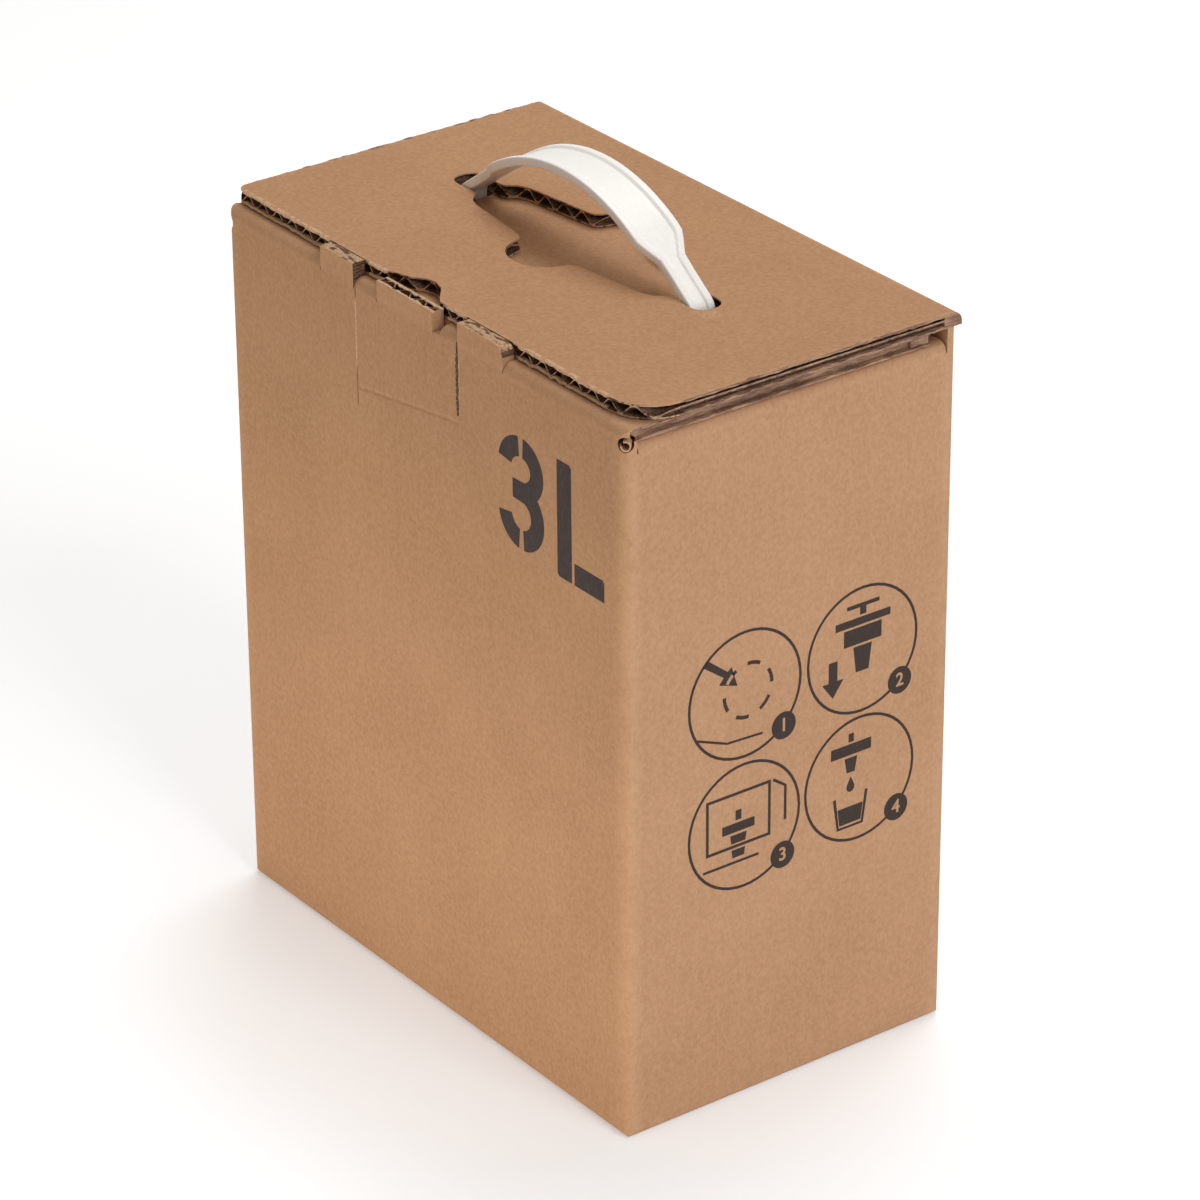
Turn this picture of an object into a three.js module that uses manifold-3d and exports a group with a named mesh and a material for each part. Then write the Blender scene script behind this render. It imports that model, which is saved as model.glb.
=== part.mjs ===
// Corrugated carton for a three litre bag, with a back-hinged lid and a strap handle.
// Millimetres, +Z up. X runs along the wide walls, Y along the narrow walls, and the front is at -Y.
import * as THREE from 'three';
import { mergeVertices } from 'three/addons/utils/BufferGeometryUtils.js';
import Module from 'manifold-3d';

// Carton and board
const width = 185;
const depth = 111;
const wallHeight = 209.5;
const board = 4;
const liner = 0.45;
const medium = 0.35;
const flutePitch = 7.3;
const fluteFillet = 0.13;
const uprightRadius = 3.5;
const foldRadius = 3;
const layerGap = 0.3;
const cutGap = 0.4;

// Top flaps of the folded blank
const dustFlapLength = 45;
const dustFlapCorner = 12;
const dustNotchHalf = 15;
const innerFlapBackGap = 11;
const innerFlapSideInset = 0.5;
const edgeGrooveDepth = 1.4;
const cornerHoleRadius = 2.2;

// Upstands along the front fold: two ears flush with the lid, and the top of the centre tab
const leftEar = [-46, -29.5];
const tabTop = [-19, 7.5];
const rightEar = [18.5, 39.5];
const tabTopAboveFlap = 3.2;
const earCornerRadius = 3;
const tabFluteDepth = 6;
const slitWidth = 0.9;
const rightSlitX = 18.5;
const rightSlitLength = 20;
const leftSlitX = -29;
const leftSlitLength = 34;
const leftSlitWidth = 0.4;
const tabNotchWidth = 3;
const tabFluteInset = 0.6;

// Bottom flaps
const bottomSeam = 0.6;
const endFlapLength = 52;
const endFlapFlat = 9;
const endFlapRamp = 11;

// Glued lap inside the left wall, with its seam on the back wall
const lapWidth = 28;
const lapEndInset = 14;
const seamWidth = 0.4;
const seamDepth = 1.5;

// Perforated tap port, low in the left wall
const portRadius = 18;
const portHeight = 32;
const portSlits = 12;
const portSlitLength = 6;
const portSlitWidth = 0.8;

// Lid
const lidSideOverhang = 1;
const lidLeftCorner = 3;
const lidRightCorner = 13;
const lidFluteEnd = 6;
const thumbNotch = [[-27, 0], [-20, 0.8], [-13, 3], [-9.5, 5.8], [-6, 6.5], [-2, 5.3], [3, 1.3], [5, 0]];

// Strap handle, and the opening of the lid around it
const handleX = -5;
const handleY = 4;
const gripWidth = 15.5;
const gripHalfLength = 33;
const neckWidth = 8;
const taperLength = 8;
const strapThickness = 2.7;
const rimWidth = 2;
const rimHeight = 0.7;
const archHeight = 23;
const archRadius = 62;
const archHalfLength = 36;
const neckBendStart = 51.5;
const neckBendRadius = 5;
const anchorLength = 7;
const anchorWidth = 20;
const anchorThickness = 2.2;
const slotClearance = 0.9;
const slotLeanRoom = 1.1;
const slotCorner = 1.5;
const anchorCorner = 2;

// A quarter of the opening of the lid, as distances from the middle of the handle
const openingQuarter = [
  [57.8, 0], [57, 3], [54.5, 4.6], [50.5, 4.7], [46.5, 4.4], [44, 5], [41.5, 7.8], [37.5, 9.4],
  [30, 10.2], [20, 11.4], [15, 12], [12.3, 12.8], [11, 14.8], [10.2, 17.5], [8, 20.8], [4.5, 23], [0, 23.8],
];

const halfWidth = width / 2;
const halfDepth = depth / 2;
const innerFlapTop = wallHeight + layerGap + board;
const innerFlapBottom = innerFlapTop - board;
const foldStart = innerFlapTop - foldRadius;
const lidBottom = innerFlapTop + layerGap;
const lidTop = lidBottom + board;
const backWallTop = lidBottom - layerGap;
const lidFront = -halfDepth + board + cutGap;
const insideX = halfWidth - board;
const insideY = halfDepth - board;
const archTop = lidTop + archHeight;
const arcSteps = 6;
const through = 1;

const wasm = await Module();
wasm.setup();

// A solid from a closed three.js geometry
function solidOf(geometry) {
  geometry.deleteAttribute('normal');
  geometry.deleteAttribute('uv');
  const merged = mergeVertices(geometry, 1e-4);
  return new wasm.Manifold(new wasm.Mesh({
    numProp: 3,
    vertProperties: new Float32Array(merged.attributes.position.array),
    triVerts: new Uint32Array(merged.index.array),
  }));
}

function box(x0, x1, y0, y1, z0, z1) {
  const geometry = new THREE.BoxGeometry(x1 - x0, y1 - y0, z1 - z0);
  geometry.translate((x0 + x1) / 2, (y0 + y1) / 2, (z0 + z1) / 2);
  return solidOf(geometry);
}

// The axes of a prism: where the two axes of its outline and its length point
const alongX = [[0, 1, 0], [0, 0, 1], [1, 0, 0]];
const alongY = [[-1, 0, 0], [0, 0, 1], [0, 1, 0]];
const alongZ = [[1, 0, 0], [0, 1, 0], [0, 0, 1]];

function prism(shape, axes, from, to, curveSegments = arcSteps) {
  const geometry = new THREE.ExtrudeGeometry(shape, { depth: to - from, bevelEnabled: false, curveSegments });
  geometry.translate(0, 0, from);
  const [u, v, w] = axes.map((axis) => new THREE.Vector3(...axis));
  geometry.applyMatrix4(new THREE.Matrix4().makeBasis(u, v, w));
  return solidOf(geometry);
}

// An outline in the XZ plane: the first axis of a prism along Y points to -X, so x is turned round
function outlineXZ(points) {
  return new THREE.Shape(points.map(([x, z]) => new THREE.Vector2(-x, z)));
}

function outline(points) {
  return new THREE.Shape(points.map(([u, v]) => new THREE.Vector2(u, v)));
}

// Corner radii go anticlockwise from the lowest corner; a radius of zero leaves the corner sharp
function roundedRectangle(x0, x1, y0, y1, radii) {
  const corners = [[x0, y0, 1, 1], [x1, y0, -1, 1], [x1, y1, -1, -1], [x0, y1, 1, -1]];
  const points = [];
  corners.forEach(([x, y, inX, inY], n) => {
    const radius = radii[n];
    const steps = radius > 0 ? arcSteps : 0;
    const start = Math.PI + (n * Math.PI) / 2;
    for (let i = 0; i <= steps; i += 1) {
      const angle = start + (steps ? (Math.PI / 2) * (i / steps) : 0);
      const round = steps ? [Math.cos(angle), Math.sin(angle)] : [-inX, -inY];
      points.push([x + radius * (inX + round[0]), y + radius * (inY + round[1])]);
    }
  });
  return outline(points);
}

// A quarter round from one end to the other about a centre, ends included
function roundFold(cx, cz, fromAngle, toAngle) {
  const points = [];
  for (let i = 0; i <= arcSteps; i += 1) {
    const angle = fromAngle + ((toAngle - fromAngle) * i) / arcSteps;
    points.push([cx + foldRadius * Math.cos(angle), cz + foldRadius * Math.sin(angle)]);
  }
  return points;
}

// The open channels between the liners and the wavy medium, from x0 to x1 across the board.
// place turns a channel's outline, (across, through the board), into a shape; fluteFillet is the share of a
// flute's pitch at each end that is filled, where the medium meets the liner.
function fluteChannels(x0, x1, axes, from, to, place) {
  const swing = board / 2 - liner - medium / 2;
  const channels = [];
  const steps = 6;
  for (let n = Math.floor(x0 / flutePitch) - 1; n * flutePitch < x1 + flutePitch; n += 1) {
    for (const side of [1, -1]) {
      const start = (n + (side > 0 ? 0 : 0.5)) * flutePitch;
      const points = [];
      for (let i = 0; i <= steps; i += 1) {
        const share = fluteFillet + ((1 - 2 * fluteFillet) * i) / steps;
        const wave = Math.cos(2 * Math.PI * share) * swing + medium / 2;
        points.push([start + share * flutePitch, board / 2 + side * wave]);
      }
      const ceiling = board / 2 + side * (board / 2 - liner);
      points.push([start + (1 - fluteFillet) * flutePitch, ceiling]);
      points.push([start + fluteFillet * flutePitch, ceiling]);
      const cell = side > 0 ? points : points.reverse();
      if (start + flutePitch > x0 && start < x1) {
        channels.push(prism(place(cell), axes, from, to));
      }
    }
  }
  return wasm.Manifold.union(channels);
}

function mesh(name, solid, colour, roughness) {
  const { vertProperties, triVerts } = solid.getMesh();
  const geometry = new THREE.BufferGeometry();
  geometry.setAttribute('position', new THREE.BufferAttribute(new Float32Array(vertProperties), 3));
  geometry.setIndex(new THREE.BufferAttribute(new Uint32Array(triVerts), 1));
  geometry.computeVertexNormals();
  const material = new THREE.MeshStandardMaterial({ color: colour, roughness, metalness: 0 });
  const made = new THREE.Mesh(geometry, material);
  made.name = name;
  return made;
}

// One of the two long bottom flaps, which stop short of the flaps of the narrow walls
function longBottomFlap(end) {
  const keep = halfWidth - endFlapFlat - endFlapRamp - layerGap;
  const near = bottomSeam / 2;
  const far = halfDepth - board / 2;
  return end > 0 ? box(-keep, keep, near, far, 0, board) : box(-keep, keep, -far, -near, 0, board);
}

// Front wall, folded back at the top into the inner flap
function frontPanel() {
  const tip = insideY - innerFlapBackGap;
  return prism(outline([
    [tip, innerFlapTop],
    ...roundFold(-halfDepth + foldRadius, innerFlapTop - foldRadius, Math.PI / 2, Math.PI),
    [-halfDepth, 0],
    [-insideY, 0],
    [-insideY, innerFlapBottom],
    [tip, innerFlapBottom],
  ]), alongX, -halfWidth, halfWidth).add(longBottomFlap(-1));
}

// Back wall; the lid's fold starts at its top edge
function backPanel() {
  return box(-halfWidth, halfWidth, insideY, halfDepth, 0, backWallTop).add(longBottomFlap(1));
}

// A narrow wall with its dust flap and its bottom flap, which climbs over the two long bottom flaps
function sidePanel(side) {
  const rampFoot = halfWidth - endFlapFlat;
  const rampTop = rampFoot - endFlapRamp;
  const above = board + layerGap;
  const points = [
    [halfWidth, 0],
    ...roundFold(halfWidth - foldRadius, wallHeight - foldRadius, 0, Math.PI / 2),
    [halfWidth - dustFlapLength, wallHeight],
    [halfWidth - dustFlapLength, wallHeight - board],
    [insideX, wallHeight - board],
    [insideX, board],
    [rampFoot, board],
    [rampTop, above + board],
    [halfWidth - endFlapLength, above + board],
    [halfWidth - endFlapLength, above],
    [rampTop, above],
    [rampFoot, 0],
  ].map(([x, z]) => [side * x, z]);
  const reach = insideY - cutGap;
  const folded = prism(outlineXZ(side > 0 ? points.reverse() : points), alongY, -reach, reach);
  const upright = box(insideX, halfWidth, -halfDepth, halfDepth, 0, wallHeight - foldRadius);
  return folded.add(side > 0 ? upright : upright.mirror([1, 0, 0]));
}

// The corner cuts and the notch for the handle's anchor in a dust flap
function dustFlapCuts(side) {
  const tip = halfWidth - dustFlapLength;
  const reach = insideY - cutGap;
  const cuts = [box(tip - 1, halfWidth - board - foldRadius, handleY - dustNotchHalf, handleY + dustNotchHalf,
    wallHeight - 1.5 * board, wallHeight + layerGap / 2)];
  for (const end of [1, -1]) {
    const corner = outline([
      [tip - 1, end * (reach - dustFlapCorner)],
      [tip, end * (reach - dustFlapCorner)],
      [tip + dustFlapCorner, end * (reach + 0.1)],
      [tip - 1, end * (reach + 0.1)],
    ]);
    cuts.push(prism(corner, alongZ, wallHeight - 1.5 * board, wallHeight + layerGap / 2));
  }
  const joined = wasm.Manifold.union(cuts);
  return side > 0 ? joined : joined.mirror([1, 0, 0]);
}

// A part of the front wall that stays upright beside the folded stretches
function upstand([x0, x1], top, leftRadius, rightRadius) {
  const shape = roundedRectangle(x0, x1, foldStart, top, [0, 0, rightRadius, leftRadius]);
  const mirrored = outlineXZ(shape.getPoints(arcSteps).map((p) => [p.x, p.y]).reverse());
  return prism(mirrored, alongY, -halfDepth, -insideY);
}

function handleSlot(side) {
  const x = handleX + side * neckPassX();
  const halfX = strapThickness / 2 + slotClearance + slotLeanRoom;
  const halfY = neckWidth / 2 + slotClearance;
  const corners = Array(4).fill(slotCorner);
  const shape = roundedRectangle(x - halfX, x + halfX, handleY - halfY, handleY + halfY, corners);
  return prism(shape, alongZ, innerFlapBottom - through, innerFlapTop + through);
}

function cartonBody() {
  let body = wasm.Manifold.union([frontPanel(), backPanel(), sidePanel(1), sidePanel(-1)]);
  const flapReach = halfWidth - innerFlapSideInset;
  const top = innerFlapTop + 1;
  const cuts = [];
  for (const side of [1, -1]) {
    const pick = (solid) => (side > 0 ? solid : solid.mirror([1, 0, 0]));
    cuts.push(pick(box(flapReach, halfWidth + 1, -insideY, insideY, innerFlapBottom - layerGap / 2, top)));
    const groove = box(flapReach - edgeGrooveDepth, halfWidth, -insideY - board / 2, insideY - innerFlapBackGap + 1,
      innerFlapBottom + liner, innerFlapTop - liner);
    cuts.push(pick(groove));
    cuts.push(dustFlapCuts(side));
    cuts.push(handleSlot(side));
    const hole = new THREE.CylinderGeometry(cornerHoleRadius, cornerHoleRadius, 4 * board, 16);
    hole.rotateY(Math.PI / 16);
    hole.rotateZ(side * (Math.PI / 4));
    hole.translate(side * (halfWidth - board / 2), -halfDepth + board / 2, wallHeight);
    cuts.push(solidOf(hole));
  }
  // Seam of the glued corner, tap port and the slits of the centre tab
  cuts.push(box(-insideX - seamWidth / 2, -insideX + seamWidth / 2, halfDepth - seamDepth, halfDepth + 1,
    lapEndInset, wallHeight - lapEndInset));
  cuts.push(...tapPort());
  cuts.push(box(rightSlitX - slitWidth / 2, rightSlitX + slitWidth / 2, -halfDepth - 1, -insideY + 1,
    innerFlapTop - rightSlitLength - foldRadius, innerFlapTop + 1));
  cuts.push(box(leftSlitX - leftSlitWidth / 2, leftSlitX + leftSlitWidth / 2, -halfDepth - 1, -insideY + 1,
    innerFlapTop - leftSlitLength - foldRadius, innerFlapTop + 1));
  // Behind each upstand the inner flap ends in a cut edge
  const stands = [leftEar, tabTop, rightEar];
  for (const [x0, x1] of stands) {
    cuts.push(box(x0, x1, -halfDepth - 1, -insideY + cutGap, foldStart, top));
  }
  body = body.subtract(wasm.Manifold.union(cuts));
  const lap = box(-insideX - 1, -insideX + board, insideY - lapWidth, insideY + 1,
    lapEndInset, wallHeight - lapEndInset);
  const tabZ = innerFlapTop + tabTopAboveFlap;
  let ears = wasm.Manifold.union([
    upstand([leftEar[0] + cutGap, leftEar[1] - cutGap], lidTop, 0, 0),
    upstand([tabTop[0] + cutGap, tabTop[1] - cutGap], tabZ, 0, 0),
    upstand([rightEar[0] + cutGap, rightEar[1] - cutGap], lidTop, 0, earCornerRadius),
  ]);
  const fluteTo = tabZ + 1;
  const tabFlutes = fluteChannels(tabTop[0], tabTop[1], alongZ, tabZ - tabFluteDepth, fluteTo,
    (cell) => outline(cell.map(([x, z]) => [x, -halfDepth + z])));
  const tabReach = box(tabTop[0] + tabFluteInset, tabTop[1] - tabFluteInset, -halfDepth - through,
    -insideY + through, 0, fluteTo);
  ears = ears.subtract(tabFlutes.intersect(tabReach));
  // A torn gap where the centre tab leaves the fold
  const tear = box(tabTop[1], tabTop[1] + tabNotchWidth, -halfDepth - 1, -insideY + cutGap,
    innerFlapBottom + foldRadius / 2, top);
  body = body.add(lap).add(ears).subtract(tear);
  const uprights = Array(4).fill(uprightRadius);
  const uprightHull = prism(roundedRectangle(-halfWidth, halfWidth, -halfDepth, halfDepth, uprights),
    alongZ, -through, lidTop + through);
  const footRadii = [foldRadius, foldRadius, 0, 0];
  const sideFeet = prism(roundedRectangle(-halfWidth, halfWidth, 0, lidTop + through, footRadii),
    alongY, -depth, depth);
  const frontFeet = prism(roundedRectangle(-halfDepth, halfDepth, 0, lidTop + through, footRadii),
    alongX, -width, width);
  return body.intersect(uprightHull).intersect(sideFeet).intersect(frontFeet);
}

// Short slits on a circle through the left wall: the circle can be pushed in for the tap
function tapPort() {
  const slits = [];
  for (let i = 0; i < portSlits; i += 1) {
    const slit = new THREE.BoxGeometry(3 * board, portSlitLength, portSlitWidth);
    slit.translate(0, 0, portRadius);
    slit.rotateX((2 * Math.PI * i) / portSlits);
    slit.translate(-halfWidth, 0, portHeight);
    slits.push(solidOf(slit));
  }
  return slits;
}

function openingOutline() {
  const loop = [
    ...openingQuarter.map(([x, y]) => [x, -y]),
    ...openingQuarter.slice(0, -1).reverse().map(([x, y]) => [-x, -y]),
    ...openingQuarter.slice(1).map(([x, y]) => [-x, y]),
    ...openingQuarter.slice(1, -1).reverse(),
  ];
  const points = loop.map(([x, y]) => new THREE.Vector3(handleX + x, handleY + y, 0)).reverse();
  const curve = new THREE.CatmullRomCurve3(points, true, 'centripetal');
  const smooth = curve.getPoints(points.length * 2).slice(0, -1);
  return new THREE.Shape(smooth.map((p) => new THREE.Vector2(p.x, p.y)));
}

function lidPanel() {
  const reach = halfWidth + lidSideOverhang;
  const plan = roundedRectangle(-reach, reach, lidFront, halfDepth, [lidLeftCorner, lidRightCorner, 0, 0]);
  let lid = prism(plan, alongZ, lidBottom, lidTop);
  const fold = prism(outline([
    [lidFront - 1, lidBottom],
    [halfDepth, lidBottom],
    ...roundFold(halfDepth - foldRadius, lidTop - foldRadius, 0, Math.PI / 2),
    [lidFront - 1, lidTop],
  ]), alongX, -reach - 1, reach + 1);
  lid = lid.intersect(fold);
  const notch = thumbNotch.map(([x, y]) => [x, lidFront + y]);
  const first = notch[0];
  const last = notch[notch.length - 1];
  lid = lid.subtract(prism(outline([
    [first[0], lidFront - 1],
    [last[0], lidFront - 1],
    ...notch.slice().reverse(),
  ]), alongZ, lidBottom - 1, lidTop + 1));
  lid = lid.subtract(prism(openingOutline(), alongZ, lidBottom - 1, lidTop + 1));
  return lid.subtract(fluteChannels(-reach, reach, alongY, lidFront - 1, halfDepth - lidFluteEnd,
    (cell) => outlineXZ(cell.map(([x, z]) => [x, lidBottom + z]).reverse())));
}

// The middle line of the strap's top face: an arch, a straight neck and a bend down through the slot
function strapLine() {
  const points = [];
  const endAngle = Math.asin(archHalfLength / archRadius);
  const archSteps = 12;
  for (let i = 0; i <= archSteps; i += 1) {
    const angle = (endAngle * i) / archSteps;
    points.push([archRadius * Math.sin(angle), archTop - archRadius * (1 - Math.cos(angle)), angle]);
  }
  const [x, z] = points[archSteps];
  const bendX = neckBendStart;
  const bendZ = z - (bendX - x) * Math.tan(endAngle);
  const bendSteps = 5;
  const cx = bendX - neckBendRadius * Math.sin(endAngle);
  const cz = bendZ - neckBendRadius * Math.cos(endAngle);
  for (let i = 0; i <= bendSteps; i += 1) {
    const angle = endAngle + ((Math.PI / 2 - endAngle) * i) / bendSteps;
    points.push([cx + neckBendRadius * Math.sin(angle), cz + neckBendRadius * Math.cos(angle), angle]);
  }
  const bottom = innerFlapBottom - layerGap - anchorThickness;
  points.push([cx + neckBendRadius, bottom, Math.PI / 2]);
  return points;
}

// Distance from the middle of the handle to the middle of the neck at a height below the bend
function neckPassX() {
  const line = strapLine();
  return line[line.length - 1][0] - strapThickness / 2;
}

function strapBand(outer, inner) {
  const line = strapLine();
  const edge = (offset) => line.map(([x, z, angle]) => [x + offset * Math.sin(angle), z + offset * Math.cos(angle)]);
  const far = edge(outer);
  const near = edge(inner);
  far[far.length - 1][1] = line[line.length - 1][1];
  near[near.length - 1][1] = line[line.length - 1][1];
  const mirrored = (points) => points.slice(1).reverse().map(([x, z]) => [-x, z]);
  const loop = [...mirrored(far), ...far, ...near.slice().reverse(), ...mirrored(near).reverse()];
  return outlineXZ(loop.map(([x, z]) => [handleX + x, z]));
}

function strapPlan(inset) {
  const grip = gripWidth / 2 - inset;
  const neck = neckWidth / 2 - inset;
  const end = neckPassX() + 2 * strapThickness;
  const quarter = [];
  const steps = 6;
  for (let i = 0; i <= steps; i += 1) {
    const share = i / steps;
    const ease = (1 - Math.cos(Math.PI * share)) / 2;
    quarter.push([gripHalfLength + taperLength * share, grip + (neck - grip) * ease]);
  }
  quarter.push([end, neck]);
  const loop = [
    ...quarter.map(([x, y]) => [x, -y]),
    ...quarter.slice().reverse(),
    ...quarter.map(([x, y]) => [-x, y]),
    ...quarter.slice().reverse().map(([x, y]) => [-x, -y]),
  ];
  return outline(loop.map(([x, y]) => [handleX + x, handleY + y]));
}

function strapHandle() {
  const low = innerFlapBottom - layerGap - anchorThickness;
  const reach = gripWidth;
  const band = prism(strapBand(0, -strapThickness), alongY, handleY - reach, handleY + reach);
  const strap = band.intersect(prism(strapPlan(0), alongZ, low - 1, archTop + 1));
  const field = prism(strapBand(1, -rimHeight), alongY, handleY - reach, handleY + reach)
    .intersect(prism(strapPlan(rimWidth), alongZ, lidTop, archTop + 1))
    .subtract(box(-width, width, -depth, depth, 0, lidTop));
  let handle = strap.subtract(field);
  for (const side of [1, -1]) {
    const x = handleX + side * neckPassX();
    const anchor = roundedRectangle(x - anchorLength / 2, x + anchorLength / 2,
      handleY - anchorWidth / 2, handleY + anchorWidth / 2, Array(4).fill(anchorCorner));
    handle = handle.add(prism(anchor, alongZ, low, low + anchorThickness, 3));
  }
  return handle;
}

const carton = new THREE.Group();
carton.add(mesh('carton_body', cartonBody(), 0xb58a68, 0.85));
carton.add(mesh('lid', lidPanel(), 0xb68b67, 0.85));
carton.add(mesh('handle', strapHandle(), 0xf6f5f3, 0.4));

export default carton;
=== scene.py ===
import math

import bmesh
import bpy
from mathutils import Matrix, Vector


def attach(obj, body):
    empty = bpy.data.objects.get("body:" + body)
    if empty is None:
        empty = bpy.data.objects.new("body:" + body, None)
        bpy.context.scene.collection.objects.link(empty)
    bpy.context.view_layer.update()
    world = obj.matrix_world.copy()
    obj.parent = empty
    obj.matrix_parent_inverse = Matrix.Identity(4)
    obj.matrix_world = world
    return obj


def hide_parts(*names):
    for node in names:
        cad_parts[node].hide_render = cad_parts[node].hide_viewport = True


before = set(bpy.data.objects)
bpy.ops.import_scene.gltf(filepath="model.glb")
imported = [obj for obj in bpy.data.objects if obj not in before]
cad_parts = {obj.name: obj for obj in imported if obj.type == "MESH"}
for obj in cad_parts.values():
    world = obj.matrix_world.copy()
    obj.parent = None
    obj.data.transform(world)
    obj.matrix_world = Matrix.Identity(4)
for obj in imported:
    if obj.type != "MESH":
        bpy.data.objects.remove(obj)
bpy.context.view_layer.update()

mm = 0.001
scene = bpy.context.scene


# small helpers
def linear(red, green, blue):
    steps = [c / 255 for c in (red, green, blue)]
    return [c / 12.92 if c <= 0.04045 else ((c + 0.055) / 1.055) ** 2.4 for c in steps] + [1]


def only(*items):
    # every operator acts on what is selected, so nothing else may be
    if bpy.context.object and bpy.context.object.mode != "OBJECT":
        bpy.ops.object.mode_set(mode="OBJECT")
    bpy.ops.object.select_all(action="DESELECT")
    for item in items:
        item.select_set(True)
    if items:
        bpy.context.view_layer.objects.active = items[0]


def newest(name):
    piece = bpy.context.active_object
    piece.name = name
    piece.data.name = name
    return piece


def pick(piece, mode, test):
    # in edit mode: select the faces, edges or vertices that pass the test
    if piece.mode != "EDIT":
        bpy.ops.object.mode_set(mode="EDIT")
    bpy.ops.mesh.select_mode(type=mode)
    bpy.ops.mesh.select_all(action="DESELECT")
    shape = bmesh.from_edit_mesh(piece.data)
    parts = {"FACE": shape.faces, "EDGE": shape.edges, "VERT": shape.verts}[mode]
    for part in parts:
        part.select_set(bool(test(part)))
    shape.select_flush_mode()
    bmesh.update_edit_mesh(piece.data)


def modify(piece, kind, **values):
    only(piece)
    step = piece.modifiers.new(kind.lower(), kind)
    for key, value in values.items():
        setattr(step, key, value)
    bpy.ops.object.modifier_apply(modifier=step.name)


def settle(piece, body, slotName, *materials, smooth=35):
    # place goes into the mesh, then the piece gets its finish and its body
    only(piece)
    bpy.ops.object.transform_apply(location=True, rotation=True, scale=True)
    if smooth:
        bpy.ops.object.shade_smooth_by_angle(angle=math.radians(smooth))
    if materials:
        piece.data.materials.clear()
        for material in materials:
            piece.data.materials.append(material)
    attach(piece, body)
    return piece


# shader helpers
class Nodes:
    def __init__(self, tree):
        self.tree = tree

    def add(self, kind, **settings):
        node = self.tree.nodes.new(kind)
        for key, value in settings.items():
            setattr(node, key, value)
        return node

    def join(self, start, end):
        self.tree.links.new(start, end)

    def put(self, socket, value):
        if hasattr(value, "is_linked"):
            self.join(value, socket)
        else:
            socket.default_value = value

    def math(self, operation, a, b=0.0, c=0.0, clamp=False):
        node = self.add("ShaderNodeMath", operation=operation, use_clamp=clamp)
        for socket, value in zip(node.inputs, (a, b, c)):
            self.put(socket, value)
        return node.outputs[0]

    def blend(self, factor, a, b, mode="MIX"):
        node = self.add("ShaderNodeMix", data_type="RGBA", blend_type=mode)
        self.put(node.inputs[0], factor)
        self.put(node.inputs[6], a)
        self.put(node.inputs[7], b)
        return node.outputs[2]

    def ramp(self, value, low, high, a=0.0, b=1.0):
        node = self.add("ShaderNodeMapRange", interpolation_type="SMOOTHSTEP")
        for socket, number in zip(node.inputs, (value, low, high, a, b)):
            self.put(socket, number)
        return node.outputs[0]

    def noise(self, vector, scale, detail=3.0, rough=0.55):
        node = self.add("ShaderNodeTexNoise")
        self.put(node.inputs["Vector"], vector)
        self.put(node.inputs["Scale"], scale)
        node.inputs["Detail"].default_value = detail
        node.inputs["Roughness"].default_value = rough
        return node.outputs[0]

    def stretched(self, vector, scale):
        node = self.add("ShaderNodeMapping")
        self.put(node.inputs["Vector"], vector)
        self.put(node.inputs["Scale"], scale)
        return node.outputs[0]

    def place(self):
        return self.add("ShaderNodeTexCoord").outputs["Object"]

    def split(self, vector):
        node = self.add("ShaderNodeSeparateXYZ")
        self.put(node.inputs[0], vector)
        return node.outputs


def newGroup(name, inputs, outputs):
    tree = bpy.data.node_groups.new(name, "ShaderNodeTree")
    kinds = {"value": "NodeSocketFloat", "colour": "NodeSocketColor", "vector": "NodeSocketVector"}
    for label, kind, start in inputs:
        socket = tree.interface.new_socket(label, in_out="INPUT", socket_type=kinds[kind])
        socket.default_value = start
    for label, kind in outputs:
        tree.interface.new_socket(label, in_out="OUTPUT", socket_type=kinds[kind])
    nodes = Nodes(tree)
    return nodes, nodes.add("NodeGroupInput").outputs, nodes.add("NodeGroupOutput").inputs


def paperFibres():
    # mottled liner: soft clouds, felt marks, long fibres and dark flecks
    nodes, given, result = newGroup("paperFibres", [
        ("Paper", "colour", linear(184, 142, 109)), ("Shade", "colour", linear(160, 119, 87)),
        ("Fleck", "colour", linear(120, 86, 62)), ("Grain", "vector", (1, 1, 0.18)),
        ("Mottle", "value", 0.5)], [("Color", "colour"), ("Height", "value")])
    where = nodes.place()
    clouds = nodes.noise(where, 24, 3)
    felt = nodes.noise(where, 700, 4, 0.66)
    fibre = nodes.noise(nodes.stretched(where, given["Grain"]), 1700, 3, 0.62)
    mixed = nodes.math("ADD", nodes.math("MULTIPLY", felt, 0.55), nodes.math("MULTIPLY", fibre, 0.45))
    depth = nodes.ramp(mixed, 0.4, 0.6)
    depth = nodes.math("MULTIPLY_ADD", nodes.ramp(clouds, 0.3, 0.7), 0.26, nodes.math("MULTIPLY", depth, 0.58))
    colour = nodes.blend(nodes.math("MULTIPLY", depth, given["Mottle"]), given["Paper"], given["Shade"])
    specks = nodes.ramp(nodes.noise(nodes.stretched(where, (1, 1, 0.6)), 1300, 2, 0.5), 0.7, 0.76)
    colour = nodes.blend(nodes.math("MULTIPLY", specks, 0.4), colour, given["Fleck"])
    nodes.join(colour, result["Color"])
    nodes.join(mixed, result["Height"])
    return nodes.tree


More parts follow.
